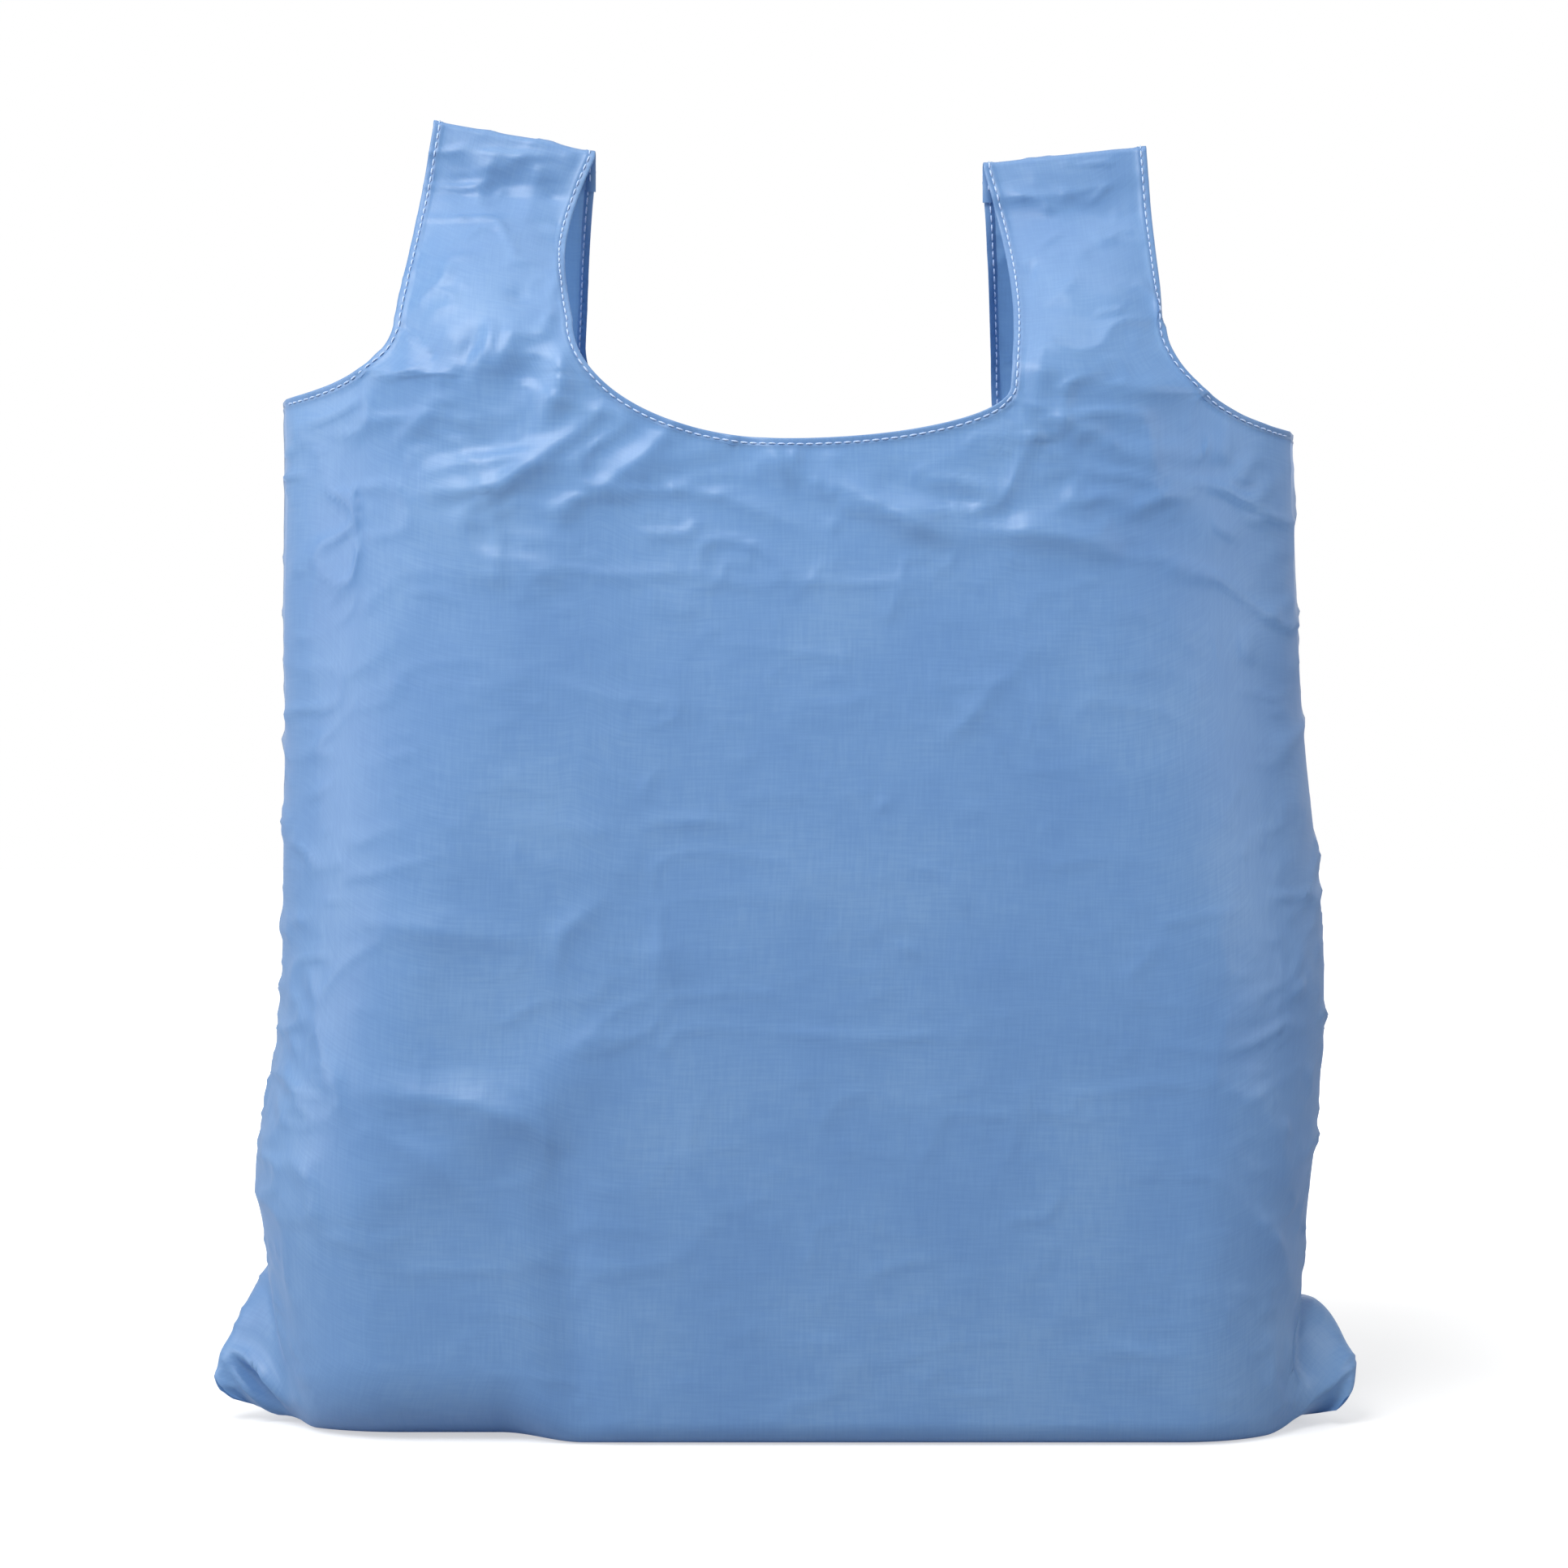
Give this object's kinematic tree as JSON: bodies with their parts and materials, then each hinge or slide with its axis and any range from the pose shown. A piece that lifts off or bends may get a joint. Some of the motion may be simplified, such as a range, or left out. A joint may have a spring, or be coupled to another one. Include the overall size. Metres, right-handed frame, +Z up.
{
  "type": "foldable shopping bag",
  "caption": "Foldable shopping bag of thin woven cloth with a wide mouth and loop handles cut in one with the panels, standing open.",
  "frame": {"origin": "middle of the footprint on the surface that the bag stands on", "axes": "+Z up from the base to the handles, +X to the right along the width, -Y towards the front"},
  "size_m": [0.422, 0.123, 0.4859],
  "materials": {
    "cloth": "thin plain-woven polyester taffeta, soft silky sheen",
    "thread": "pale polyester sewing thread"
  },
  "bodies": {
    "root": {"front_panel": "cloth", "back_panel": "cloth", "front_mouth_stitching": "thread", "front_left_armhole_stitching": "thread", "front_right_armhole_stitching": "thread", "back_mouth_stitching": "thread", "back_left_armhole_stitching": "thread", "back_right_armhole_stitching": "thread", "left_seam_overlock": "thread", "right_seam_overlock": "thread", "bottom_seam_overlock": "thread", "left_handle_seam_stitching": "thread", "right_handle_seam_stitching": "thread"}
  },
  "joints": []
}
